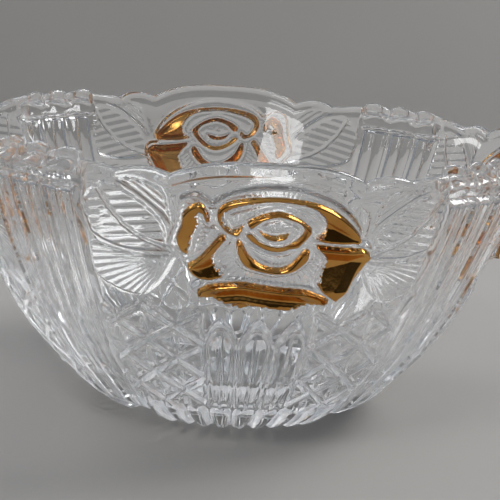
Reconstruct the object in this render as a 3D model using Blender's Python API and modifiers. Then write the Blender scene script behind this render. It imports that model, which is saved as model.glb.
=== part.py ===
"""Pressed-glass bowl with four gilded roses.

The bowl is one piece of clear glass. Its wall has four panels, each with a rose in relief under an
arch of the rim, and between the panels four columns of ribs. The fired-on gold on each rose is drawn
as eight thin sheets that follow the wall. The bowl stands on a flat ring with its axis on +Z, and its
front rose faces -Y. Heights are measured from the standing face.
"""

import math

import bmesh
import bpy
import numpy as np

MM = 0.001

# The rim, in metres
RIM_HEIGHT = 95.0 * MM  # the low line of the wavy rim
ARCH_RISE = 5.2 * MM  # the rim over each rose, above the low line
SIDE_WAVE_RISE = 1.6 * MM
CORNER_RISE = 1.3 * MM
RIB_CREST_RISE = 2.4 * MM  # each rib's crest, above the corner
WAVE_START = 60.0 * MM  # below this the wall doesn't follow the wavy rim

# The pattern round the wall, in degrees from the middle of a panel
PANELS = 4
PANEL_PITCH = 360.0 / PANELS
ARCH_EDGE = 17.0
SIDE_WAVE_EDGE = 26.0
RIB_COUNT = 3
RIB_SPACING = 7.4
RIBS_START = PANEL_PITCH / 2 - RIB_SPACING * RIB_COUNT / 2
RIBS_END = PANEL_PITCH / 2 + RIB_SPACING * RIB_COUNT / 2
MOTIF_TURN = 0.7  # the rose and its pillars stand a little to the right of the arch
PILLAR_COUNT = 3
PILLAR_SPACING = 8.0
PILLARS_START = MOTIF_TURN - PILLAR_SPACING * PILLAR_COUNT / 2

# Relief of the wall, in metres
RIB_RISE = 2.2 * MM
RIB_FOOT = 6.0 * MM
RIB_TOP = 88.5 * MM
RIB_LIP_INNER = 92.0 * MM  # the inside of the lip at the ribs
RIB_CUT_BACK = 0.55  # how much of the wall's thickness the slope above the ribs takes off at the rim
PILLAR_RISE = 1.8 * MM
PILLAR_FOOT = 2.0 * MM
PILLAR_TOP = 48.0 * MM
PILLAR_SHOULDER = 9.0 * MM  # the drop from a pillar's point to its shoulders
RELIEF_BLEND = 3.0 * MM

# The gilding, in metres
GILT_GAP = 0.3 * MM
GILT_THICKNESS = 0.5 * MM
GILT_SLICE = 6.0 * MM
UNROLLED_RADIUS = 90.0 * MM  # the outlines lie on the wall unrolled at this radius

# Stations of the wall, as (radius, height) in mm
OUTSIDE = (
    (37.0, 0.0), (38.6, 1.2), (46.3, 5.0), (53.4, 10.0), (62.8, 20.0), (71.4, 30.0), (77.8, 40.0),
    (83.2, 50.0), (88.0, 60.0), (92.3, 70.0), (96.3, 80.0), (99.7, 90.0), (100.7, 93.0), (103.0, 101.0),
)
INSIDE = (
    (0.0, 9.5), (24.0, 10.2), (42.0, 14.5), (56.0, 23.5), (66.5, 34.0), (74.7, 46.0), (82.6, 61.0),
    (89.4, 76.0), (94.2, 88.0),
)
LIP = ((96.2, 93.6), (98.4, 95.0), (100.4, 94.4))
OUTSIDE_RINGS = (92.0, 88.5, 85.5, 73.0, 60.0, 49.0, 43.0, 35.0, 25.0, 15.0, 6.0, 1.2, 0.0)
FOOT_INNER_RADIUS = 28.0
RECESS_RADIUS = 25.0
RECESS_DEPTH = 2.0

# The outlines of the gold on one rose, as (across, height) in mm on the unrolled wall
GILT_OUTLINES = {
    "left_petal": (
        (-22.5, 72.0), (-24.5, 73.5), (-25.5, 77.0), (-24.0, 81.0), (-23.5, 84.5), (-21.5, 87.0),
        (-19.0, 88.0), (-17.0, 86.5), (-16.0, 84.0), (-16.5, 82.0), (-17.5, 83.0), (-18.5, 85.0),
        (-19.5, 84.0), (-19.0, 81.5), (-20.0, 79.0), (-21.0, 76.5), (-21.5, 74.0),
    ),
    "lower_left_petal": (
        (-11.5, 78.0), (-13.5, 78.5), (-15.5, 76.0), (-18.5, 72.0), (-21.0, 69.5), (-22.5, 68.5),
        (-21.5, 66.5), (-19.5, 65.0), (-16.5, 64.2), (-13.5, 65.0), (-12.0, 66.5), (-14.0, 68.0),
        (-15.0, 70.5), (-14.5, 73.0), (-13.0, 75.5),
    ),
    "top_petal": (
        (-7.0, 81.0), (-8.0, 79.5), (-9.5, 79.0), (-12.0, 80.0), (-14.0, 82.5), (-14.5, 85.0),
        (-13.5, 87.5), (-11.0, 89.0), (-7.0, 90.0), (-1.5, 90.5), (3.0, 90.5), (8.0, 90.0),
        (12.5, 89.0), (17.0, 87.0), (21.0, 84.0), (25.0, 79.5), (23.5, 77.5), (17.0, 77.5),
        (12.0, 78.5), (14.0, 80.5), (14.0, 84.0), (11.5, 87.0), (8.0, 88.5), (3.0, 89.2),
        (-1.0, 89.2), (-5.0, 88.5), (-9.5, 87.2), (-12.2, 85.5), (-12.4, 83.5), (-11.0, 81.2),
        (-9.5, 80.5), (-8.0, 81.7),
    ),
    "bud": (
        (-6.5, 83.0), (-3.5, 85.2), (1.5, 86.5), (6.0, 85.3), (9.5, 83.0), (11.0, 81.0),
        (8.5, 77.0), (4.0, 74.0), (-0.5, 74.2), (-4.5, 76.4), (-6.5, 78.6), (-5.0, 79.2),
        (-2.8, 77.0), (0.5, 75.6), (3.8, 75.6), (7.2, 78.0), (9.0, 81.0), (7.5, 83.2),
        (5.0, 84.4), (1.5, 85.2), (-2.2, 84.0), (-5.0, 81.5),
    ),
    "eye": (
        (-3.2, 80.4), (-1.8, 78.8), (1.0, 77.9), (3.8, 78.5), (5.2, 79.9), (3.2, 79.6), (1.0, 79.1),
        (-1.2, 79.6),
    ),
    "inner_petal": (
        (-9.0, 77.0), (-8.5, 72.5), (-6.0, 69.2), (-1.5, 67.8), (3.0, 67.2), (7.5, 68.2),
        (11.0, 71.8), (11.5, 74.5), (10.0, 75.0), (8.5, 72.8), (6.2, 70.0), (2.8, 68.7),
        (-1.8, 69.8), (-5.5, 72.8), (-7.5, 76.5),
    ),
    "right_petal": (
        (12.5, 76.5), (17.5, 76.0), (23.0, 75.5), (27.0, 75.5), (29.5, 73.5), (28.5, 71.0),
        (26.5, 66.5), (24.5, 62.5), (22.5, 60.2), (19.0, 61.0), (15.5, 63.5), (15.5, 67.0),
        (16.5, 71.0), (15.0, 74.0),
    ),
    "bottom_petal": (
        (-20.0, 60.0), (-17.0, 61.8), (-11.5, 63.0), (-6.5, 63.5), (-0.5, 62.7), (6.0, 62.0),
        (12.0, 61.5), (16.5, 60.0), (20.5, 58.0), (15.5, 57.0), (10.5, 56.0), (7.0, 55.0),
        (2.5, 55.7), (-2.5, 56.0), (-7.5, 54.7), (-12.0, 56.7), (-15.5, 58.0), (-18.5, 58.5),
    ),
}
ROSE_SIDES = ("front", "right", "back", "left")

# Columns of glass faces in one panel's pitch: how many steps up to each angle
COLUMN_STEPS = (0, 12, 17, 29, 34)
COLUMN_ANGLES = (
    PILLARS_START, PILLARS_START + PILLAR_SPACING * PILLAR_COUNT,
    RIBS_START, RIBS_END, PILLARS_START + PANEL_PITCH,
)


def clear_scene():
    for old in list(bpy.data.objects):
        bpy.data.objects.remove(old, do_unlink=True)


def make_material(name, colour, roughness, metallic=0.0, transmission=0.0):
    material = bpy.data.materials.new(name)
    material.use_nodes = True
    shader = material.node_tree.nodes["Principled BSDF"]
    shader.inputs["Base Color"].default_value = (*colour, 1.0)
    shader.inputs["Roughness"].default_value = roughness
    shader.inputs["Metallic"].default_value = metallic
    shader.inputs["Transmission Weight"].default_value = transmission
    material.diffuse_color = (*colour, 1.0)
    return material


def ease(value, low, high):
    """0 below low, 1 above high, and a smooth step between them."""
    share = min(max((value - low) / (high - low), 0.0), 1.0)
    return share * share * (3.0 - 2.0 * share)


def wall_radius(height):
    """Outer radius of the plain wall at a height, both in metres."""
    radii, heights = zip(*OUTSIDE)
    return MM * float(np.interp(height / MM, heights, radii))


def angle_in_panel(angle):
    """Angle from the nearest panel's middle, in degrees, -45 to 45."""
    return (angle + PANEL_PITCH / 2) % PANEL_PITCH - PANEL_PITCH / 2


def rim_rise(angle):
    """How far the rim stands above its low line."""
    off = abs(angle_in_panel(angle))
    if off < ARCH_EDGE:
        return ARCH_RISE * (1.0 - (off / ARCH_EDGE) ** 3)
    if off < SIDE_WAVE_EDGE:
        share = (off - ARCH_EDGE) / (SIDE_WAVE_EDGE - ARCH_EDGE)
        return SIDE_WAVE_RISE * math.sin(math.pi * share)
    corner = CORNER_RISE * ease(off, SIDE_WAVE_EDGE, RIBS_START)
    return corner + RIB_CREST_RISE * rib_shape(angle)


def rib_shape(angle):
    """Height of the ribs across their column, 0 in a groove and 1 on a crest."""
    off = angle % PANEL_PITCH - RIBS_START
    if off < 0.0 or off > RIBS_END - RIBS_START:
        return 0.0
    across = 2.0 * (off / RIB_SPACING % 1.0) - 1.0
    return 1.0 - across * across


def column_shape(angle):
    """1 within a column of ribs, 0 elsewhere."""
    off = abs(angle % PANEL_PITCH - PANEL_PITCH / 2)
    return 1.0 - ease(off, RIBS_END - PANEL_PITCH / 2, RIBS_END - PANEL_PITCH / 2 + 1.0)


def pillar_relief(angle, height):
    """Relief of the pointed pillars under each rose."""
    off = angle_in_panel(angle - MOTIF_TURN) + PILLAR_SPACING * PILLAR_COUNT / 2
    if off < 0.0 or off > PILLAR_SPACING * PILLAR_COUNT:
        return 0.0
    across = 2.0 * (off / PILLAR_SPACING % 1.0) - 1.0
    top = PILLAR_TOP - PILLAR_SHOULDER * abs(across) ** 1.5
    below_top = 1.0 - ease(height, top - RELIEF_BLEND, top)
    share = ease(height, PILLAR_FOOT, PILLAR_FOOT + RELIEF_BLEND) * below_top
    return PILLAR_RISE * share * (1.0 - across * across)


def rib_relief(angle, height):
    """Relief of the ribs, which run from the foot to the slope below the rim."""
    share = ease(height, RIB_FOOT, RIB_FOOT + RELIEF_BLEND) * (1.0 - ease(height, RIB_TOP, RIM_HEIGHT))
    return RIB_RISE * share * rib_shape(angle)


def cut_back(angle, height, radius):
    """Radius of the lip after the slope above the ribs, which leaves the rim thin and further in."""
    share = column_shape(angle) * min(max((height - RIB_TOP) / (RIM_HEIGHT - RIB_TOP), 0.0), 1.0)
    inner = RIB_LIP_INNER + (radius - RIB_LIP_INNER) * (1.0 - RIB_CUT_BACK * share)
    return radius + (inner - radius) * share


def column_angle(index):
    """Angle of a column of glass vertices. The columns are closest on the pillars and the ribs."""
    panel, step = divmod(index, COLUMN_STEPS[-1])
    return panel * PANEL_PITCH + float(np.interp(step, COLUMN_STEPS, COLUMN_ANGLES))


def bowl_profile():
    """Half section of the bowl, in metres, from the middle of the inside to the middle of the base."""
    points = list(INSIDE) + list(LIP)
    points += [(wall_radius(height * MM) / MM, height) for height in OUTSIDE_RINGS]
    points += [(FOOT_INNER_RADIUS, 0.0), (RECESS_RADIUS, RECESS_DEPTH), (0.0, RECESS_DEPTH)]
    return [(radius * MM, 0.0, height * MM) for radius, height in points]


def turn_profile(name, points, steps, collection):
    """Turn a half section about +Z and return the result as a plain mesh object."""
    mesh = bpy.data.meshes.new(name + "_profile")
    mesh.from_pydata(points, [(i, i + 1) for i in range(len(points) - 1)], [])
    profile = bpy.data.objects.new(name + "_profile", mesh)
    collection.objects.link(profile)
    screw = profile.modifiers.new("turn", "SCREW")
    screw.steps = steps
    screw.render_steps = steps
    screw.use_merge_vertices = True
    screw.merge_threshold = 0.00005
    bpy.context.view_layer.update()
    evaluated = profile.evaluated_get(bpy.context.evaluated_depsgraph_get())
    turned = bpy.data.meshes.new_from_object(evaluated)
    bpy.data.objects.remove(profile, do_unlink=True)
    turned.name = name
    body = bpy.data.objects.new(name, turned)
    collection.objects.link(body)
    return body


def shape_glass(mesh, steps):
    """Move the turned bowl's vertices onto the wavy rim and the relief."""
    for vertex in mesh.vertices:
        radius = math.hypot(vertex.co.x, vertex.co.y)
        if radius < MM:
            continue
        height = vertex.co.z
        turned = math.degrees(math.atan2(vertex.co.x, -vertex.co.y)) % 360.0
        angle = column_angle(round(turned * steps / 360.0) % steps)
        outside = 1.0 - ease(wall_radius(height) - radius, 0.6 * MM, 3.0 * MM)
        rise = rim_rise(angle) * ease(height, WAVE_START, RIM_HEIGHT)
        radius += wall_radius(height + rise) - wall_radius(height)
        if FOOT_INNER_RADIUS * MM < radius:
            radius += outside * (rib_relief(angle, height) + pillar_relief(angle, height))
        radius = cut_back(angle, height, radius)
        across = math.radians(angle)
        vertex.co = (radius * math.sin(across), -radius * math.cos(across), height + rise)


def make_glass(collection, material):
    steps = COLUMN_STEPS[-1] * PANELS
    glass = turn_profile("glass_bowl", bowl_profile(), steps, collection)
    shape_glass(glass.data, steps)
    glass.data.materials.append(material)
    glass.data.shade_smooth()
    glass.data.set_sharp_from_angle(angle=math.radians(40.0))
    return glass


def outline_sheet(name, outline):
    """Flat sheet of gold on the unrolled wall: across on X, height on Y, thickness on Z."""
    curve = bpy.data.curves.new(name, "CURVE")
    curve.dimensions = "2D"
    curve.fill_mode = "BOTH"
    curve.extrude = GILT_THICKNESS / 2
    spline = curve.splines.new("POLY")
    spline.points.add(len(outline) - 1)
    spline.use_cyclic_u = True
    for point, (across, height) in zip(spline.points, outline):
        point.co = (across * MM, height * MM, 0.0, 1.0)
    drawn = bpy.data.objects.new(name, curve)
    bpy.context.scene.collection.objects.link(drawn)
    bpy.context.view_layer.update()
    evaluated = drawn.evaluated_get(bpy.context.evaluated_depsgraph_get())
    sheet = bpy.data.meshes.new_from_object(evaluated)
    bpy.data.objects.remove(drawn, do_unlink=True)
    sheet.name = name
    return sheet


def slice_sheet(sheet):
    """Cut a sheet's faces every few millimetres across, so that it can bend round the bowl."""
    work = bmesh.new()
    work.from_mesh(sheet)
    bmesh.ops.remove_doubles(work, verts=work.verts, dist=0.00001)
    low = min(vertex.co.x for vertex in work.verts)
    high = max(vertex.co.x for vertex in work.verts)
    count = max(1, math.ceil((high - low) / GILT_SLICE))
    for index in range(1, count):
        everything = work.verts[:] + work.edges[:] + work.faces[:]
        cut = (low + (high - low) * index / count, 0.0, 0.0)
        bmesh.ops.bisect_plane(work, geom=everything, dist=0.000001, plane_co=cut, plane_no=(1, 0, 0))
    bmesh.ops.triangulate(work, faces=work.faces)
    work.to_mesh(sheet)
    work.free()


def bend_sheet(sheet):
    """Lay a sheet on the outside of the front panel, with a small gap to the glass."""
    for vertex in sheet.vertices:
        across = math.radians(MOTIF_TURN) + vertex.co.x / UNROLLED_RADIUS
        radius = wall_radius(vertex.co.y) + GILT_GAP + GILT_THICKNESS / 2 + vertex.co.z
        vertex.co = (radius * math.sin(across), -radius * math.cos(across), vertex.co.y)


def make_gilding(collection, material):
    for part, outline in GILT_OUTLINES.items():
        sheet = outline_sheet("gilt_" + part, outline)
        slice_sheet(sheet)
        bend_sheet(sheet)
        sheet.materials.append(material)
        for index, side in enumerate(ROSE_SIDES):
            gilt = bpy.data.objects.new(f"gilt_{side}_{part}", sheet)
            gilt.rotation_euler.z = math.radians(PANEL_PITCH * index)
            collection.objects.link(gilt)


def main():
    clear_scene()
    bowl = bpy.data.collections.new("gilded_rose_bowl")
    bpy.context.scene.collection.children.link(bowl)
    glass = make_material("clear_glass", (0.93, 0.95, 0.96), 0.04, transmission=1.0)
    gold = make_material("fired_gold", (0.83, 0.56, 0.20), 0.12, metallic=1.0)
    make_glass(bowl, glass)
    make_gilding(bowl, gold)


main()
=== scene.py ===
import math

import bpy
import numpy as np
from mathutils import Matrix, Vector


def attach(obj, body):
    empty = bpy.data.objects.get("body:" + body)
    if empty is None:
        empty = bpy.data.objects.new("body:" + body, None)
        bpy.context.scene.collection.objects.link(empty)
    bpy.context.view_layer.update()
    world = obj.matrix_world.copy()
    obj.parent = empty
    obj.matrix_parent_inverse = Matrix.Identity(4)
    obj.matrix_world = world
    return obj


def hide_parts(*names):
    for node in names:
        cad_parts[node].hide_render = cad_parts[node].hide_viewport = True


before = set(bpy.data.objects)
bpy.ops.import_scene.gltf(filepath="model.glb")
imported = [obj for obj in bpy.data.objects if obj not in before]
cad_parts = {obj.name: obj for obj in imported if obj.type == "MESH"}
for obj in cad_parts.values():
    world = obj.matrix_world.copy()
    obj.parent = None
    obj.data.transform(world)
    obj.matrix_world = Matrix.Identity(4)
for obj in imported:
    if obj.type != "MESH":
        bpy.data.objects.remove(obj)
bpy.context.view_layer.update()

# Lengths below are in mm and angles in degrees, until points() turns them into metres.
MM = 0.001

# The rim
RIM_HEIGHT = 94.98
ARCH_RISE = 5.2
SIDE_WAVE_RISE = 1.6
CORNER_RISE = 1.3
RIB_CREST_RISE = 2.3
WAVE_START = 60.0
LIP_BASE = 91.6
LIP_INNER = 96.2
LIP_ROUNDNESS = 0.7

# The pattern round the wall, from the middle of a panel
PANELS = 4
PANEL_PITCH = 360.0 / PANELS
ARCH_EDGE = 17.0
SIDE_WAVE_EDGE = 26.0
RIB_COUNT = 3
RIB_SPACING = 7.4
RIBS_HALF = RIB_SPACING * RIB_COUNT / 2
RIBS_START = PANEL_PITCH / 2 - RIBS_HALF
MOTIF_TURN = 0.7
PILLAR_COUNT = 3
PILLAR_SPACING = 8.0
PILLARS_HALF = PILLAR_SPACING * PILLAR_COUNT / 2
UNROLLED_RADIUS = 90.0

# Stations of the wall, as (radius, height)
OUTSIDE = (
    (37.0, 0.0), (38.6, 1.2), (46.3, 5.0), (53.4, 10.0), (62.8, 20.0), (71.4, 30.0), (77.8, 40.0),
    (83.2, 50.0), (88.0, 60.0), (92.3, 70.0), (96.3, 80.0), (99.7, 90.0), (101.3, 95.0), (103.0, 101.0),
)
INSIDE = (
    (1.0, 9.5), (12.0, 9.6), (24.0, 10.2), (42.0, 14.5), (56.0, 23.5), (66.5, 34.0), (74.7, 46.0),
    (82.6, 61.0), (89.4, 76.0), (94.2, 88.0), (LIP_INNER, LIP_BASE),
)
FOOT = ((36.4, 0.05), (35.0, 0.0), (29.0, 0.0), (28.0, 0.1), (26.5, 1.2), (24.5, 2.0), (12.0, 2.0), (1.0, 2.0))

# Relief
RIB_RISE = 2.2
RIB_TOP = 88.5
RIB_FOOT = 4.0
RIB_LIP_INNER = 90.5
RIB_CUT_BACK = 0.5
CREASE_KEPT = 0.45  # share of the cut-back that the creases between ribs escape
CREASE_START, CREASE_FULL = 0.6, 0.95
COLUMN_THICKENS_FROM = 70.0
PILLAR_RISE = 2.4
PILLAR_TOP = 49.0
PILLAR_SHOULDER = 10.0
PILLAR_FOOT = 15.0
DIAMOND_MIDDLE = 24.7
DIAMOND_LEVEL = 40.1
DIAMOND_HALF_WIDTH = 6.75
DIAMOND_HALF_HEIGHT = 6.15
DIAMOND_RISE = 1.6
FOOT_LOBE_RISE = 2.0
FOOT_LOBE_TOP = 14.5
FOOT_LOBE_ARCH = 3.0
ROSE_RISE = 1.5
BEAD_RISE = 0.7
PETAL_RISE = 2.1
PETAL_BASE = 0.25
ROLL_WIDTH = 1.0
ROLL_FALL = 3.2
DISH_RISE = 1.5
DISH_WIDTH = 5.0
STREAK_PITCH = 4.0
HATCH_PITCH = 5.0
ROSE_MIDDLE = (2.0, 80.0)
ROSE_SQUEEZE = 0.8  # the rose is wider than high
COMB_DEPTH = 0.9
GILT_STEP = 0.25
GILT_PROUD = 0.12

# Outlines on the unrolled wall, as (distance from the panel's middle, height)
ROSE_EDGE = (
    (-28.5, 75.0), (-26.2, 82.0), (-25.0, 88.0), (-23.0, 90.0), (-19.5, 90.7), (-17.2, 89.2),
    (-15.8, 88.4), (-14.0, 90.0), (-10.0, 92.2), (-4.0, 93.6), (2.0, 94.0), (8.0, 93.2), (15.0, 90.6),
    (21.0, 86.6), (25.8, 81.0), (26.2, 78.4), (25.6, 77.2), (29.0, 76.6), (31.0, 73.5), (29.8, 69.0),
    (27.0, 63.0), (25.0, 60.0), (21.5, 57.0), (16.0, 55.8), (12.0, 54.8), (8.0, 53.6), (2.0, 54.4),
    (-4.0, 54.4), (-9.0, 53.2), (-13.0, 55.0), (-16.0, 57.0), (-20.0, 57.8), (-22.5, 59.5),
    (-21.0, 61.8), (-19.5, 63.2), (-21.5, 65.0), (-24.0, 67.8), (-24.8, 70.2), (-27.0, 72.5),
)
GILT_OUTLINES = {
    "left_petal": (
        (-22.5, 72.0), (-24.5, 73.5), (-25.5, 77.0), (-24.0, 81.0), (-23.5, 84.5), (-21.5, 87.0),
        (-19.0, 88.0), (-17.0, 86.5), (-16.0, 84.0), (-16.5, 82.0), (-17.5, 83.0), (-18.5, 85.0),
        (-19.5, 84.0), (-19.0, 81.5), (-20.0, 79.0), (-21.0, 76.5), (-21.5, 74.0),
    ),
    "lower_left_petal": (
        (-11.5, 78.0), (-13.5, 78.5), (-15.5, 76.0), (-18.5, 72.0), (-21.0, 69.5), (-22.5, 68.5),
        (-21.5, 66.5), (-19.5, 65.0), (-16.5, 64.2), (-13.5, 65.0), (-12.0, 66.5), (-14.0, 68.0),
        (-15.0, 70.5), (-14.5, 73.0), (-13.0, 75.5),
    ),
    "top_petal": (
        (-7.0, 81.0), (-8.0, 79.5), (-9.5, 79.0), (-12.0, 80.0), (-14.0, 82.5), (-14.5, 85.0),
        (-13.5, 87.5), (-11.0, 89.0), (-7.0, 90.0), (-1.5, 90.5), (3.0, 90.5), (8.0, 90.0),
        (12.5, 89.0), (17.0, 87.0), (21.0, 84.0), (25.0, 79.5), (23.5, 77.5), (17.0, 77.5),
        (12.0, 78.5), (14.0, 80.5), (14.0, 84.0), (11.5, 87.0), (8.0, 88.5), (3.0, 89.2),
        (-1.0, 89.2), (-5.0, 88.5), (-9.5, 87.2), (-12.2, 85.5), (-12.4, 83.5), (-11.0, 81.2),
        (-9.5, 80.5), (-8.0, 81.7),
    ),
    "bud": (
        (-6.5, 83.0), (-3.5, 85.2), (1.5, 86.5), (6.0, 85.3), (9.5, 83.0), (11.0, 81.0),
        (8.5, 77.0), (4.0, 74.0), (-0.5, 74.2), (-4.5, 76.4), (-6.5, 78.6), (-5.0, 79.2),
        (-2.8, 77.0), (0.5, 75.6), (3.8, 75.6), (7.2, 78.0), (9.0, 81.0), (7.5, 83.2),
        (5.0, 84.4), (1.5, 85.2), (-2.2, 84.0), (-5.0, 81.5),
    ),
    "eye": (
        (-3.2, 80.4), (-1.8, 78.8), (1.0, 77.9), (3.8, 78.5), (5.2, 79.9), (3.2, 79.6), (1.0, 79.1),
        (-1.2, 79.6),
    ),
    "inner_petal": (
        (-9.0, 77.0), (-8.5, 72.5), (-6.0, 69.2), (-1.5, 67.8), (3.0, 67.2), (7.5, 68.2),
        (11.0, 71.8), (11.5, 74.5), (10.0, 75.0), (8.5, 72.8), (6.2, 70.0), (2.8, 68.7),
        (-1.8, 69.8), (-5.5, 72.8), (-7.5, 76.5),
    ),
    "right_petal": (
        (12.5, 76.5), (17.5, 76.0), (23.0, 75.5), (27.0, 75.5), (29.5, 73.5), (28.5, 71.0),
        (26.5, 66.5), (24.5, 62.5), (22.5, 60.2), (19.0, 61.0), (15.5, 63.5), (15.5, 67.0),
        (16.5, 71.0), (15.0, 74.0),
    ),
    "bottom_petal": (
        (-20.0, 60.0), (-17.0, 61.8), (-11.5, 63.0), (-6.5, 63.5), (-0.5, 62.7), (6.0, 62.0),
        (12.0, 61.5), (16.5, 60.0), (20.5, 58.0), (15.5, 57.0), (10.5, 56.0), (7.0, 55.0),
        (2.5, 55.7), (-2.5, 56.0), (-7.5, 54.7), (-12.0, 56.7), (-15.5, 58.0), (-18.5, 58.5),
    ),
}
# Stretch of each outline that is a rolled edge, as first and last point
CRISP_EDGES = {
    "left_petal": (0, 9), "lower_left_petal": (0, 10), "top_petal": (2, 19), "bud": (0, 7), "eye": (0, 5),
    "inner_petal": (0, 8), "right_petal": (0, 9), "bottom_petal": (0, 9),
}
STREAKS = {"left_petal": 0.12, "bottom_petal": 0.1}  # depth of the cuts in a petal's middle
# Edges of the gold that are combed: 1 for the one facing the rose's middle, -1 for the one facing away
COMBED = {"left_petal": 1.0, "lower_left_petal": 1.0, "top_petal": 1.0, "right_petal": 1.0, "bottom_petal": -1.0}
ROSE_SIDES = ("front", "right", "back", "left")

# Leaves, as (distance from the rose's middle, height)
LEAF_MIDDLE = 1.0
LEAF_BASE = (27.0, 70.5)
BLADE_TILT = 10.0
BLADE_PITCH = 2.7
NEEDLE_TILT = 40.0
NEEDLE_PITCH = 1.9
RAY_PITCH = 5.0
MIDRIB_HALF = 1.0
MIDRIB = ((29.0, 71.5), (37.0, 74.5), (42.0, 78.0), (46.0, 83.0), (49.0, 89.0))
LEAF_UPPER_HALF = (
    (30.0, 73.0), (30.0, 79.0), (33.0, 83.5), (37.0, 87.0), (42.0, 90.0), (47.0, 91.5), (49.0, 89.0),
    (46.0, 83.0), (42.0, 78.0), (37.0, 74.5),
)
LEAF_LOWER_HALF = (
    (29.0, 71.0), (37.0, 74.5), (42.0, 78.0), (46.0, 83.0), (49.0, 89.0), (53.0, 87.0), (55.5, 83.0),
    (54.5, 78.0), (53.0, 73.5), (46.0, 70.5), (37.0, 69.8),
)
LEAF_TOP = (
    (28.0, 79.0), (28.5, 85.0), (30.0, 90.5), (34.0, 92.8), (40.0, 93.2), (45.0, 92.4), (40.0, 89.6),
    (35.5, 86.5), (31.0, 82.5),
)
LEAF_FAN = (
    (27.5, 70.0), (36.0, 69.0), (46.0, 69.8), (54.0, 71.0), (56.0, 64.0), (54.5, 59.0), (49.0, 56.0),
    (43.0, 54.6), (38.0, 55.4), (33.0, 59.5), (29.5, 64.5),
)


# ---------------------------------------------------------------- curves and distances

def ease(value, low, high):
    """0 below low, 1 above high, and a smooth step between them."""
    share = np.clip((value - low) / (high - low), 0.0, 1.0)
    return share * share * (3.0 - 2.0 * share)


def smooth_line(stations, pieces=8, closed=False):
    """Catmull-Rom curve through the stations."""
    stations = np.array(stations, float)
    if closed:
        padded = np.vstack([stations[-1:], stations, stations[:2]])
    else:
        padded = np.vstack([2 * stations[0] - stations[1], stations, 2 * stations[-1] - stations[-2]])
    share = np.arange(pieces)[:, None] / pieces
    runs = []
    for start in range(len(padded) - 3):
        a, b, c, d = padded[start:start + 4]
        runs.append(0.5 * (2 * b + (c - a) * share + (2 * a - 5 * b + 4 * c - d) * share**2
                           + (3 * b - a - 3 * c + d) * share**3))
    line = np.vstack(runs)
    return line if closed else np.vstack([line, stations[-1:]])


def spaced(line, spacing):
    """Points along a line at spacing(point) from each other."""
    steps = np.hypot(*np.diff(line, axis=0).T)
    middles = (line[1:] + line[:-1]) / 2
    turns = np.concatenate([[0.0], np.cumsum(steps / spacing(middles))])
    wanted = np.linspace(0.0, turns[-1], int(math.ceil(turns[-1])) + 1)
    return np.stack([np.interp(wanted, turns, line[:, 0]), np.interp(wanted, turns, line[:, 1])], 1)


def line_distance(across, height, line):
    """Distance to a polyline."""
    least = np.full(np.shape(across), 1e9)
    for (x0, y0), (x1, y1) in zip(line[:-1], line[1:]):
        dx, dy = x1 - x0, y1 - y0
        share = np.clip(((across - x0) * dx + (height - y0) * dy) / (dx * dx + dy * dy), 0.0, 1.0)
        least = np.minimum(least, np.hypot(across - x0 - share * dx, height - y0 - share * dy))
    return least


def outline_distance(across, height, outline):
    """Distance to a closed outline, negative inside it."""
    loop = np.vstack([outline, outline[:1]])
    inside = np.zeros(np.shape(across), bool)
    for (x0, y0), (x1, y1) in zip(loop[:-1], loop[1:]):
        if y0 != y1:
            crossing = (y0 > height) != (y1 > height)
            inside ^= crossing & (across < x0 + (height - y0) * (x1 - x0) / (y1 - y0))
    distance = line_distance(across, height, loop)
    return np.where(inside, -distance, distance)


def near_outline(across, height, outline, margin=6.0):
    """outline_distance where the outline is near, and margin elsewhere."""
    low, high = outline.min(0) - margin, outline.max(0) + margin
    near = (across > low[0]) & (across < high[0]) & (height > low[1]) & (height < high[1])
    distance = np.full(np.shape(across), margin)
    distance[near] = np.clip(outline_distance(across[near], height[near], outline), -99.0, margin)
    return distance


# ---------------------------------------------------------------- the wall and its relief

WALL = smooth_line(OUTSIDE)
ROSE_LOOP = smooth_line(ROSE_EDGE, 4, closed=True)
GILT_LOOPS = {part: smooth_line(outline, 4, closed=True) for part, outline in GILT_OUTLINES.items()}
CRISP_LINES = {part: smooth_line(GILT_OUTLINES[part][a:b], 4) for part, (a, b) in CRISP_EDGES.items()}
LEAF_LOOPS = [smooth_line(leaf, 4, closed=True) for leaf in (LEAF_UPPER_HALF, LEAF_LOWER_HALF, LEAF_TOP, LEAF_FAN)]


def wall_radius(height):
    """Outside radius of the plain wall."""
    return np.interp(height, WALL[:, 1], WALL[:, 0])


def wall_normal(height):
    """Outward normal of the wall's section, as (radius part, height part)."""
    slope = (wall_radius(height + 0.6) - wall_radius(height - 0.6)) / 1.2
    length = np.hypot(1.0, slope)
    return 1.0 / length, -slope / length


def rib_across(angle):
    """Place across its own rib, -1 to 1, and whether the angle is in a column of ribs."""
    off = angle % PANEL_PITCH - RIBS_START
    return 2.0 * (off / RIB_SPACING % 1.0) - 1.0, (off >= 0.0) & (off <= 2 * RIBS_HALF)


def column_share(angle):
    """1 in a column of ribs, 0 elsewhere."""
    off = np.abs(angle % PANEL_PITCH - PANEL_PITCH / 2)
    return 1.0 - ease(off, RIBS_HALF - 0.3, RIBS_HALF + 0.5)


def rim_rise(angle):
    """Height of the rim's waves: an arch over each rose, a lower wave beside it, a crest on each rib."""
    off = np.abs((angle + PANEL_PITCH / 2) % PANEL_PITCH - PANEL_PITCH / 2)
    arch = ARCH_RISE * (1.0 - np.clip(off / ARCH_EDGE, 0.0, 1.0) ** 3)
    side = np.clip((off - ARCH_EDGE) / (SIDE_WAVE_EDGE - ARCH_EDGE), 0.0, 1.0)
    across, in_column = rib_across(angle)
    crest = RIB_CREST_RISE * in_column * (1.0 - across**2)
    corner = CORNER_RISE * ease(off, SIDE_WAVE_EDGE, RIBS_START)
    return arch + SIDE_WAVE_RISE * np.sin(math.pi * side) + corner + crest


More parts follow.
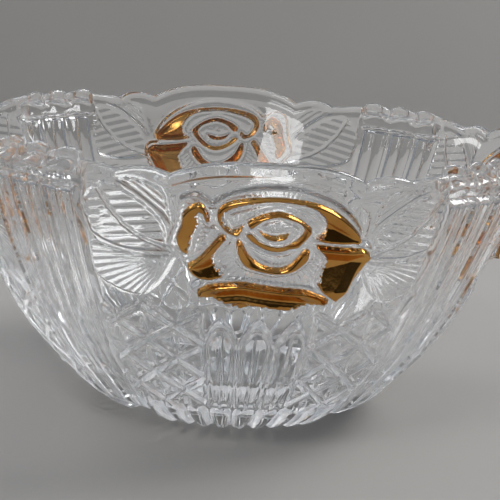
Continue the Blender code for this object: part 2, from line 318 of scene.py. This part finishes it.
def rolled(inward):
    """Section of a raised shape by the distance in from its outline: a rolled border, then a lower middle."""
    border = np.sqrt(np.clip(1.0 - (1.0 - np.clip(inward / 0.9, 0.0, 1.0)) ** 2, 0.0, 1.0))
    return border - 0.4 * ease(inward, 0.9, 2.3)


def rib_relief(angle, height):
    """Ribs with rolled borders and a fine ridge up their middle."""
    across, in_column = rib_across(angle)
    inward = (1.0 - np.abs(across)) * np.radians(RIB_SPACING / 2) * wall_radius(height)
    inward = np.minimum(inward, (RIB_TOP - height) * 1.2)
    section = np.where(inward > 0.0, rolled(inward), 0.0) + 0.25 * np.clip(1.0 - np.abs(across) / 0.25, 0.0, 1.0)
    share = ease(height, RIB_FOOT, RIB_FOOT + 8.0) * (height < RIB_TOP)
    return share * (RIB_RISE * section * in_column + 0.3 * column_share(angle))


def pillar_relief(angle, height):
    """The pointed pillars under the rose."""
    off = (angle - MOTIF_TURN) + PILLARS_HALF
    across = 2.0 * (off / PILLAR_SPACING % 1.0) - 1.0
    within = (off >= 0.0) & (off <= 2 * PILLARS_HALF)
    top = PILLAR_TOP - PILLAR_SHOULDER * np.abs(across) ** 1.6
    inward = (1.0 - np.abs(across)) * np.radians(PILLAR_SPACING / 2) * wall_radius(height)
    inward = np.minimum(inward, np.minimum(top - height, height - PILLAR_FOOT + 1.0) * 0.75)
    section = np.where(inward > 0.0, rolled(inward), 0.0) + 0.25 * np.clip(1.0 - np.abs(across) / 0.2, 0.0, 1.0)
    return within * (inward > 0.0) * PILLAR_RISE * section


def diamond_relief(angle, height):
    """Lattice of grooves round diamonds with rolled borders, with an upright cut in each."""
    off = np.abs(angle - MOTIF_TURN)
    a = (off - DIAMOND_MIDDLE) / DIAMOND_HALF_WIDTH
    b = (height - DIAMOND_LEVEL) / DIAMOND_HALF_HEIGHT
    scale = np.hypot(1.0 / (wall_radius(height) * math.radians(DIAMOND_HALF_WIDTH)), 1.0 / DIAMOND_HALF_HEIGHT)
    falling = np.abs((a + b) / 2 - np.round((a + b) / 2)) * 2 / scale
    rising = np.abs((a - b) / 2 - np.round((a - b) / 2)) * 2 / scale
    near_a = a - np.round(a)
    level = np.where(np.round(a) % 2 == 0, 1.0, 0.0)
    near_b = b - level - 2 * np.round((b - level) / 2)
    upright_off = np.abs(near_a) * wall_radius(height) * math.radians(DIAMOND_HALF_WIDTH)
    upright = np.clip(1.0 - upright_off / 1.2 - np.clip(np.abs(near_b) / 0.62, 0.0, 9.0) ** 3, 0.0, 1.0)
    arch = 1.0 + np.cos(math.pi / 2 * (a - 2 * np.round(a / 2))) ** 0.8
    inward = np.minimum(np.minimum(falling, rising), (arch - b) / scale * 0.9) - 0.15
    middle = 0.55 * (1.0 - (1.0 - np.clip(inward / 4.5, 0.0, 1.0)) ** 2)
    section = np.where(inward > 0.0, rolled(inward) + middle, 0.0) - 0.7 * upright * (b < arch)
    zone = ease(off, PILLARS_HALF - 0.3, PILLARS_HALF + 0.6) * ease(height, 12.5, 14.5)
    return zone * (1.0 - column_share(angle)) * DIAMOND_RISE * section


def foot_relief(angle, height):
    """Rounded lobes between the standing ring and the cut pattern."""
    off = np.abs(angle - MOTIF_TURN)
    across = 2.0 * ((off + PILLAR_SPACING / 2) / PILLAR_SPACING % 1.0) - 1.0
    top = FOOT_LOBE_TOP - FOOT_LOBE_ARCH * across**2
    lobe = ease(height, 0.6, 3.0) * (1.0 - ease(height, top - 2.5, top))
    return FOOT_LOBE_RISE * lobe * (1.0 - np.abs(across) ** 2.5) * (1.0 - column_share(angle))


def lobes(turns):
    """Rounded ridges with sharp valleys, one for each turn."""
    return np.abs(np.sin(math.pi * turns))


def leaf_relief(across, height):
    """Leaf blades, needles and a fan of rays on each side of the rose, with a midrib."""
    out = np.abs(across - LEAF_MIDDLE)
    upper, lower, top, fan = (near_outline(out, height, loop, 3.0) for loop in LEAF_LOOPS)
    tilt = math.radians(BLADE_TILT)
    blade = lobes((height * math.cos(tilt) + out * math.sin(tilt)) / BLADE_PITCH)
    steep = math.radians(NEEDLE_TILT)
    needles = lobes((height * math.cos(steep) - out * math.sin(steep)) / NEEDLE_PITCH)
    bearing = np.degrees(np.arctan2(height - LEAF_BASE[1], out - LEAF_BASE[0]))
    rays = lobes(bearing / RAY_PITCH)
    total = 0.0
    for distance, veins in ((upper, blade), (lower, blade), (top, needles), (fan, rays)):
        inside = ease(-distance, 0.0, 1.2)
        total = np.maximum(total, inside * (0.35 + 0.3 * veins))
    rib = line_distance(out, height, np.array(MIDRIB))
    return np.maximum(total, np.clip(1.0 - (rib / MIDRIB_HALF) ** 2, 0.0, 1.0))


def rose_bearing(across, height):
    """Bearing in degrees from the rose's middle, in the rose's own proportions."""
    return np.degrees(np.arctan2(height - ROSE_MIDDLE[1], (across - ROSE_MIDDLE[0]) * ROSE_SQUEEZE))


def petal_relief(across, height):
    """Petals with a rolled outer edge and a dished middle, and the distance to the nearest gilt area."""
    gilt = np.full(np.shape(across), 6.0)
    raised = np.zeros(np.shape(across))
    for part, loop in GILT_LOOPS.items():
        distance = near_outline(across, height, loop)
        gilt = np.minimum(gilt, distance)
        inside = distance < 0.0
        edge = line_distance(across[inside], height[inside], CRISP_LINES[part])
        outer = np.sqrt(np.clip(1.0 - (1.0 - edge / ROLL_WIDTH) ** 2, 0.0, 1.0))
        inner = 1.0 - np.clip((edge - ROLL_WIDTH) / ROLL_FALL, 0.0, 1.0)
        roll = np.where(edge < ROLL_WIDTH, outer, inner)
        if part == "bottom_petal":
            roll = roll + 0.8 * np.exp(-(((edge - 5.6) / 1.2) ** 2))
        if part == "right_petal":
            low = 68.0 + 0.27 * (across[inside] - 13.0) - height[inside]
            roll = roll + DISH_RISE * np.clip(low / DISH_WIDTH, 0.0, 1.3) * ease(edge, 0.8, 2.4)
        bearing = rose_bearing(across[inside], height[inside])
        streaks = STREAKS.get(part, 0.0) * lobes(bearing / STREAK_PITCH) * ease(edge, 0.8, 2.4)
        raised[inside] = (PETAL_BASE + PETAL_RISE * roll + streaks) * ease(-distance[inside], 0.0, 0.5)
    return raised, gilt


def rose_relief(across, height):
    """The rose's relief and its share: 1 inside the rose, 0 outside."""
    edge = near_outline(across, height, ROSE_LOOP)
    petal, gilt = petal_relief(across, height)
    inside = ease(-edge, -0.3, 1.3)
    bead = np.clip(1.0 - ((edge + 1.3) / 1.2) ** 2, 0.0, 1.0)
    seam = np.clip(1.0 - ((gilt - 0.8) / 0.8) ** 2, 0.0, 1.0)
    hatch = 0.25 * lobes(rose_bearing(across, height) / HATCH_PITCH) * ease(gilt, 0.0, 0.8)
    total = inside * (ROSE_RISE + petal + hatch) + BEAD_RISE * np.maximum(bead, 0.6 * seam * inside)
    return total * (1.0 - 0.6 * ease(height, 82.0, 94.0)), inside


def relief(angle, height):
    """Height of the pattern over the plain wall. The angle is from the panel's middle."""
    across = np.radians(angle - MOTIF_TURN) * UNROLLED_RADIUS
    rose, share = rose_relief(across, height)
    ground = pillar_relief(angle, height) + diamond_relief(angle, height) + foot_relief(angle, height)
    ground = np.maximum(ground, leaf_relief(across, height) * (1.0 - column_share(angle)))
    return rib_relief(angle, height) + rose + (1.0 - share) * ground


# ---------------------------------------------------------------- meshes

def make_mesh(name, points, faces, triangles=()):
    """Mesh from arrays: points in mm, four-sided faces and a few triangles."""
    mesh = bpy.data.meshes.new(name)
    faces = np.asarray(faces, np.int32)
    triangles = np.asarray(triangles, np.int32).reshape(-1, 3)
    mesh.vertices.add(len(points))
    mesh.vertices.foreach_set("co", (np.asarray(points) * MM).astype(np.float32).ravel())
    corners = np.concatenate([faces.ravel(), triangles.ravel()])
    mesh.loops.add(len(corners))
    mesh.loops.foreach_set("vertex_index", corners)
    mesh.polygons.add(len(faces) + len(triangles))
    starts = np.concatenate([np.arange(len(faces)) * 4, len(faces) * 4 + np.arange(len(triangles)) * 3])
    mesh.polygons.foreach_set("loop_start", starts.astype(np.int32))
    mesh.update(calc_edges=True)
    mesh.validate()
    mesh.shade_smooth()
    return mesh


def round_points(radius, height, angle):
    """Points at a radius and an angle from -Y, turning towards +X."""
    turn = np.radians(angle)
    return np.stack([radius * np.sin(turn), -radius * np.cos(turn), height + 0.0 * turn], -1)


def panel_angles():
    """Angles of one panel's columns of points, closest together on the rose."""
    steps = (0, 30, 74, 238, 280, 310)
    angles = (-PANEL_PITCH / 2, -RIBS_START, -20.5, 21.5, RIBS_START, PANEL_PITCH / 2)
    return np.interp(np.arange(steps[-1]), steps, angles)


def outside_spacing(middles):
    """Spacing of the outside rows by height, closest at the rose."""
    return np.interp(middles[:, 1], (0.0, 12.0, 16.0, 50.0, 56.0, 95.0), (0.75, 0.7, 0.55, 0.5, 0.4, 0.4))


def section_rows():
    """Rows of the bowl's section as (radius, height, kind): 0 inside, 1 lip, 2 outside, 3 foot."""
    inside = spaced(smooth_line(INSIDE), lambda middles: np.full(len(middles), 2.0))
    turn = np.radians(np.linspace(180.0, 0.0, 17))[1:-1]
    middle, half = (wall_radius(LIP_BASE) + LIP_INNER) / 2, (wall_radius(LIP_BASE) - LIP_INNER) / 2
    across = np.sign(np.cos(turn)) * np.abs(np.cos(turn)) ** LIP_ROUNDNESS
    lip = np.stack([middle + half * across, LIP_BASE + (RIM_HEIGHT - LIP_BASE) * np.sin(turn) ** LIP_ROUNDNESS], 1)
    wall = WALL[(WALL[:, 1] > 0.6) & (WALL[:, 1] < LIP_BASE)][::-1]
    wall = np.vstack([[wall_radius(LIP_BASE), LIP_BASE], wall])
    outside = spaced(wall, outside_spacing)
    foot = spaced(smooth_line(FOOT, 6), lambda middles: np.full(len(middles), 0.7))
    foot[:, 1] = np.maximum(foot[:, 1], 0.0)
    parts = (inside, lip, outside, foot)
    return [np.column_stack([part, np.full(len(part), kind)]) for kind, part in enumerate(parts)]


def glass_points(rows, angles):
    """Points of one panel, rows by columns."""
    radius, height, kind = (column[:, None] for column in np.vstack(rows).T)
    rise = rim_rise(angles) * ease(height, WAVE_START, RIM_HEIGHT)
    radius = radius + wall_radius(height + rise) - wall_radius(height)
    plain = height
    height = height + rise
    outside = (kind == 2)
    raised = np.where(outside, relief(np.broadcast_to(angles, radius.shape), height), 0.0)
    normal = wall_normal(height)
    radius = radius + raised * normal[0]
    height = height + raised * normal[1]
    column = column_share(angles)
    spoke = 1.0 - 2.0 * np.abs((angles / 18.0) % 1.0 - 0.5)
    star = (kind == 3) * np.clip((24.0 - radius) / 3.0, 0.0, 1.0) * ease(radius, 2.0, 14.0)
    height = height + 3.0 * star * spoke
    crease = ease(np.abs(rib_across(angles)[0]), CREASE_START, CREASE_FULL)
    cut = np.clip((plain - RIB_TOP) / (LIP_BASE - RIB_TOP), 0.0, 1.0)
    thickening = ease(plain, COLUMN_THICKENS_FROM, LIP_BASE)
    share = np.where(kind > 0, cut * (1.0 - CREASE_KEPT * crease), thickening) * column
    inner = RIB_LIP_INNER + (radius - RIB_LIP_INNER) * (1.0 - RIB_CUT_BACK * share)
    radius = radius + (inner - radius) * share
    return radius, height


def make_glass():
    rows = section_rows()
    angles = panel_angles()
    radius, height = glass_points(rows, angles)
    radius, height = np.tile(radius, PANELS), np.tile(height, PANELS)
    turn = (angles[None, :] + PANEL_PITCH * np.arange(PANELS)[:, None]).ravel()
    points = round_points(radius, height, turn)
    count_rows, count = radius.shape
    index = np.arange(count_rows * count).reshape(count_rows, count)
    ahead = np.roll(index, -1, axis=1)
    faces = np.stack([index[:-1], index[1:], ahead[1:], ahead[:-1]], -1).reshape(-1, 4)
    points = points.reshape(-1, 3)
    middle, under = len(points), len(points) + 1
    points = np.vstack([points, [[0.0, 0.0, INSIDE[0][1]], [0.0, 0.0, FOOT[-1][1]]]])
    top_fan = np.stack([np.full(count, middle), index[0], ahead[0]], 1)
    base_fan = np.stack([np.full(count, under), ahead[-1], index[-1]], 1)
    mesh = make_mesh("bowl_glass", points, faces, np.vstack([top_fan, base_fan]))
    piece = bpy.data.objects.new("bowl_glass", mesh)
    bpy.context.scene.collection.objects.link(piece)
    return piece


def gilt_points(across, height, lift):
    """Points over the relief of the front panel, lifted off it."""
    angle = np.degrees(across / UNROLLED_RADIUS) + MOTIF_TURN
    raised = relief(angle, height) + lift
    normal = wall_normal(height)
    return round_points(wall_radius(height) + raised * normal[0], height + raised * normal[1], angle)


def gilt_shell(part, loop):
    """Closed thin skin of gold over the relief inside an outline: points and faces of the front one."""
    low, high = loop.min(0) - 1.0, loop.max(0) + 1.0
    across, height = np.meshgrid(np.arange(low[0], high[0], GILT_STEP), np.arange(low[1], high[1], GILT_STEP))
    distance = outline_distance(across, height, loop)
    slope_height, slope_across = np.gradient(distance, GILT_STEP)
    towards = slope_across * (ROSE_MIDDLE[0] - across) + slope_height * (ROSE_MIDDLE[1] - height)
    towards = towards / np.maximum(np.hypot(ROSE_MIDDLE[0] - across, ROSE_MIDDLE[1] - height), 1.0)
    bearing = rose_bearing(across, height)
    comb = 0.7 * lobes(bearing / HATCH_PITCH) + 0.5 * lobes(bearing / 3.1 + 0.3)
    facing = ease(COMBED.get(part, 0.0) * towards, 0.2, 0.8)
    distance = distance + facing * (COMB_DEPTH * comb - 0.2)
    slope_height, slope_across = np.gradient(distance, GILT_STEP)
    steep = np.maximum(slope_across**2 + slope_height**2, 0.5)
    outer = (distance > 0.0) & (distance < 0.6 * GILT_STEP)
    shift = np.where(outer, distance / steep, 0.0)
    across = across - shift * slope_across
    height = height - shift * slope_height
    kept = distance < 0.6 * GILT_STEP
    cells = kept[:-1, :-1] & kept[1:, :-1] & kept[:-1, 1:] & kept[1:, 1:]
    grid = np.arange(across.size).reshape(across.shape)
    front = np.stack([grid[:-1, :-1], grid[:-1, 1:], grid[1:, 1:], grid[1:, :-1]], -1)[cells]
    used, compact = np.unique(front, return_inverse=True)
    front = compact.reshape(-1, 4)
    across, height = across.ravel()[used], height.ravel()[used]
    points = np.vstack([gilt_points(across, height, GILT_PROUD), gilt_points(across, height, -GILT_PROUD)])
    count = len(used)
    edges = np.concatenate([front[:, [i, (i + 1) % 4]] for i in range(4)])
    keys = edges[:, 0] * count + edges[:, 1]
    border = edges[~np.isin(keys, edges[:, 1] * count + edges[:, 0])]
    walls = np.stack([border[:, 1], border[:, 0], border[:, 0] + count, border[:, 1] + count], 1)
    return points, np.vstack([front, front[:, ::-1] + count, walls])


def make_gilding(part, loop):
    points, faces = gilt_shell(part, loop)
    pieces = []
    for index, side in enumerate(ROSE_SIDES):
        name = f"gold_{side}_{part}"
        turn = np.radians(PANEL_PITCH * index)
        turned = points.copy()
        turned[:, 0] = points[:, 0] * np.cos(turn) - points[:, 1] * np.sin(turn)
        turned[:, 1] = points[:, 0] * np.sin(turn) + points[:, 1] * np.cos(turn)
        piece = bpy.data.objects.new(name, make_mesh(name, turned, faces))
        bpy.context.scene.collection.objects.link(piece)
        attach(piece, "root")
        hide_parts(f"gilt_{side}_{part}")
        pieces.append(piece)
    return pieces


# ---------------------------------------------------------------- materials

def new_material(name):
    material = bpy.data.materials.new(name)
    material.use_nodes = True
    tree = material.node_tree
    return material, tree, tree.nodes["Principled BSDF"]


def add_node(tree, kind, **values):
    node = tree.nodes.new(kind)
    for key, value in values.items():
        if key in node.inputs:
            node.inputs[key].default_value = value
        else:
            setattr(node, key, value)
    return node


def object_noise(tree, scale, detail=2.0):
    place = add_node(tree, "ShaderNodeTexCoord")
    noise = add_node(tree, "ShaderNodeTexNoise", Scale=scale, Detail=detail)
    tree.links.new(place.outputs["Object"], noise.inputs["Vector"])
    return noise


def ramp(tree, source, low, high):
    """Map a noise's middle range onto low..high."""
    spread = add_node(tree, "ShaderNodeMapRange")
    spread.inputs["From Min"].default_value = 0.3
    spread.inputs["From Max"].default_value = 0.7
    spread.inputs["To Min"].default_value = low
    spread.inputs["To Max"].default_value = high
    tree.links.new(source, spread.inputs["Value"])
    return spread.outputs["Result"]


def glass_material():
    material, tree, shader = new_material("pressed_glass")
    shader.inputs["Base Color"].default_value = (0.985, 0.99, 0.992, 1.0)
    shader.inputs["Transmission Weight"].default_value = 1.0
    shader.inputs["IOR"].default_value = 1.54
    polish = object_noise(tree, 60.0)
    tree.links.new(ramp(tree, polish.outputs["Fac"], 0.0, 0.008), shader.inputs["Roughness"])
    ripple = object_noise(tree, 180.0, 3.0)
    bump = add_node(tree, "ShaderNodeBump", Strength=0.05, Distance=0.0004)
    tree.links.new(ripple.outputs["Fac"], bump.inputs["Height"])
    tree.links.new(bump.outputs["Normal"], shader.inputs["Normal"])
    return material


def gold_material():
    material, tree, shader = new_material("fired_gold")
    shader.inputs["Metallic"].default_value = 1.0
    wear = object_noise(tree, 90.0, 4.0)
    tint = add_node(tree, "ShaderNodeValToRGB")
    tint.color_ramp.elements[0].position = 0.3
    tint.color_ramp.elements[0].color = (0.55, 0.24, 0.05, 1.0)
    tint.color_ramp.elements[1].position = 0.7
    tint.color_ramp.elements[1].color = (0.80, 0.43, 0.12, 1.0)
    tree.links.new(wear.outputs["Fac"], tint.inputs["Fac"])
    tree.links.new(tint.outputs["Color"], shader.inputs["Base Color"])
    tree.links.new(ramp(tree, wear.outputs["Fac"], 0.06, 0.2), shader.inputs["Roughness"])
    brush = object_noise(tree, 400.0, 3.0)
    bump = add_node(tree, "ShaderNodeBump", Strength=0.25, Distance=0.0003)
    tree.links.new(brush.outputs["Fac"], bump.inputs["Height"])
    tree.links.new(bump.outputs["Normal"], shader.inputs["Normal"])
    return material


def plain_material(name, dark, light, scale, roughness):
    material, tree, shader = new_material(name)
    cloud = object_noise(tree, scale, 3.0)
    tint = add_node(tree, "ShaderNodeValToRGB")
    tint.color_ramp.elements[0].color = (*dark, 1.0)
    tint.color_ramp.elements[1].color = (*light, 1.0)
    tree.links.new(cloud.outputs["Fac"], tint.inputs["Fac"])
    tree.links.new(tint.outputs["Color"], shader.inputs["Base Color"])
    shader.inputs["Roughness"].default_value = roughness
    return material


# ---------------------------------------------------------------- stage, light and camera

def make_stage():
    """Plain pale floor, and a plain backdrop just high enough to fill the photo's view."""
    floor_mesh = bpy.data.meshes.new("floor")
    half, back, top = 1.6, 0.62, 0.14
    low = -0.0002  # a hair under the standing ring, so light gets between them
    floor_mesh.from_pydata(
        [(-half, -half, low), (half, -half, low), (half, back, low), (-half, back, low)], [], [(0, 1, 2, 3)])
    floor = bpy.data.objects.new("floor", floor_mesh)
    wall_mesh = bpy.data.meshes.new("backdrop")
    wall_mesh.from_pydata(
        [(-half, back, low), (half, back, low), (half, back, top), (-half, back, top)], [], [(0, 1, 2, 3)])
    wall = bpy.data.objects.new("backdrop", wall_mesh)
    floor_mesh.materials.append(plain_material("pale_floor", (0.46, 0.435, 0.405), (0.54, 0.512, 0.48), 6.0, 0.6))
    wall_mesh.materials.append(plain_material("grey_backdrop", (0.44, 0.427, 0.412), (0.53, 0.516, 0.50), 3.0, 0.8))
    for piece in (floor, wall):
        bpy.context.scene.collection.objects.link(piece)


def make_world():
    """Bright sky down to the horizon behind the bowl, and dark low down behind the camera."""
    world = bpy.data.worlds.new("studio")
    world.use_nodes = True
    tree = world.node_tree
    place = add_node(tree, "ShaderNodeTexCoord")
    split = add_node(tree, "ShaderNodeSeparateXYZ")
    tree.links.new(place.outputs["Generated"], split.inputs["Vector"])
    lift = add_node(tree, "ShaderNodeMath", operation="MULTIPLY_ADD")
    lift.inputs[1].default_value = 0.18
    tree.links.new(split.outputs["Y"], lift.inputs[0])
    tree.links.new(split.outputs["Z"], lift.inputs[2])
    tint = add_node(tree, "ShaderNodeValToRGB")
    tint.color_ramp.elements[0].position = 0.0
    tint.color_ramp.elements[0].color = (0.03, 0.03, 0.03, 1.0)
    for position, shade in ((0.22, 0.02), (0.32, 0.17), (0.5, 0.25)):
        element = tint.color_ramp.elements.new(position)
        element.color = (shade * 0.9, shade * 0.98, shade * 1.1, 1.0)
    tint.color_ramp.elements[-1].position = 1.0
    tint.color_ramp.elements[-1].color = (0.31, 0.345, 0.39, 1.0)
    tree.links.new(lift.outputs["Value"], tint.inputs["Fac"])
    tree.links.new(tint.outputs["Color"], tree.nodes["Background"].inputs["Color"])
    tree.nodes["Background"].inputs["Strength"].default_value = 1.0
    bpy.context.scene.world = world


def make_light(name, place, aim, size, power):
    light = bpy.data.lights.new(name, "AREA")
    light.shape = "RECTANGLE"
    light.size, light.size_y = size
    light.energy = power
    lamp = bpy.data.objects.new(name, light)
    lamp.location = place
    lamp.rotation_euler = (Vector(aim) - Vector(place)).to_track_quat("-Z", "Y").to_euler()
    bpy.context.scene.collection.objects.link(lamp)


CAMERA_DISTANCE = 0.544
CAMERA_HEIGHT = 0.0744 + 0.095
CAMERA_BEARING = 4.9  # the front panel is turned this far to the right of the camera
CAMERA_YAW = 0.49
CAMERA_PITCH = 12.06
CAMERA_ROLL = 3.49
CAMERA_LENS = 113.2


def make_camera():
    bearing = math.radians(CAMERA_BEARING)
    place = Vector((-CAMERA_DISTANCE * math.sin(bearing), -CAMERA_DISTANCE * math.cos(bearing), CAMERA_HEIGHT))
    heading = bearing + math.radians(CAMERA_YAW)
    pitch, roll = math.radians(CAMERA_PITCH), math.radians(CAMERA_ROLL)
    ahead = Vector((math.sin(heading) * math.cos(pitch), math.cos(heading) * math.cos(pitch), -math.sin(pitch)))
    right = ahead.cross(Vector((0, 0, 1))).normalized()
    up = right.cross(ahead)
    up = up * math.cos(roll) - right * math.sin(roll)
    right = ahead.cross(up)
    data = bpy.data.cameras.new("camera")
    data.lens = CAMERA_LENS
    data.sensor_width = 36.0
    camera = bpy.data.objects.new("camera", data)
    camera.matrix_world = Matrix.Translation(place) @ Matrix((right, up, -ahead)).transposed().to_4x4()
    bpy.context.scene.collection.objects.link(camera)
    bpy.context.scene.camera = camera


bpy.context.scene.view_settings.view_transform = "Standard"
bpy.context.scene.cycles.max_bounces = 24
bpy.context.scene.cycles.transmission_bounces = 24
bpy.context.scene.cycles.glossy_bounces = 24
make_camera()
make_stage()
make_world()
make_light("key", (0.8, 0.16, 0.82), (0.0, 0.0, 0.03), (0.53, 0.4), 7.0)
make_light("front", (-0.3, -0.6, 0.7), (0.0, -0.05, 0.0), (0.3, 0.2), 1.2)
make_light("fill", (-0.5, 0.5, 0.5), (0.0, 0.0, 0.03), (0.25, 0.25), 0.9)

glass = make_glass()
glass.data.materials.append(glass_material())
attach(glass, "root")
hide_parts("glass_bowl")

gold = gold_material()
for part, loop in GILT_LOOPS.items():
    for piece in make_gilding(part, loop):
        piece.data.materials.append(gold)
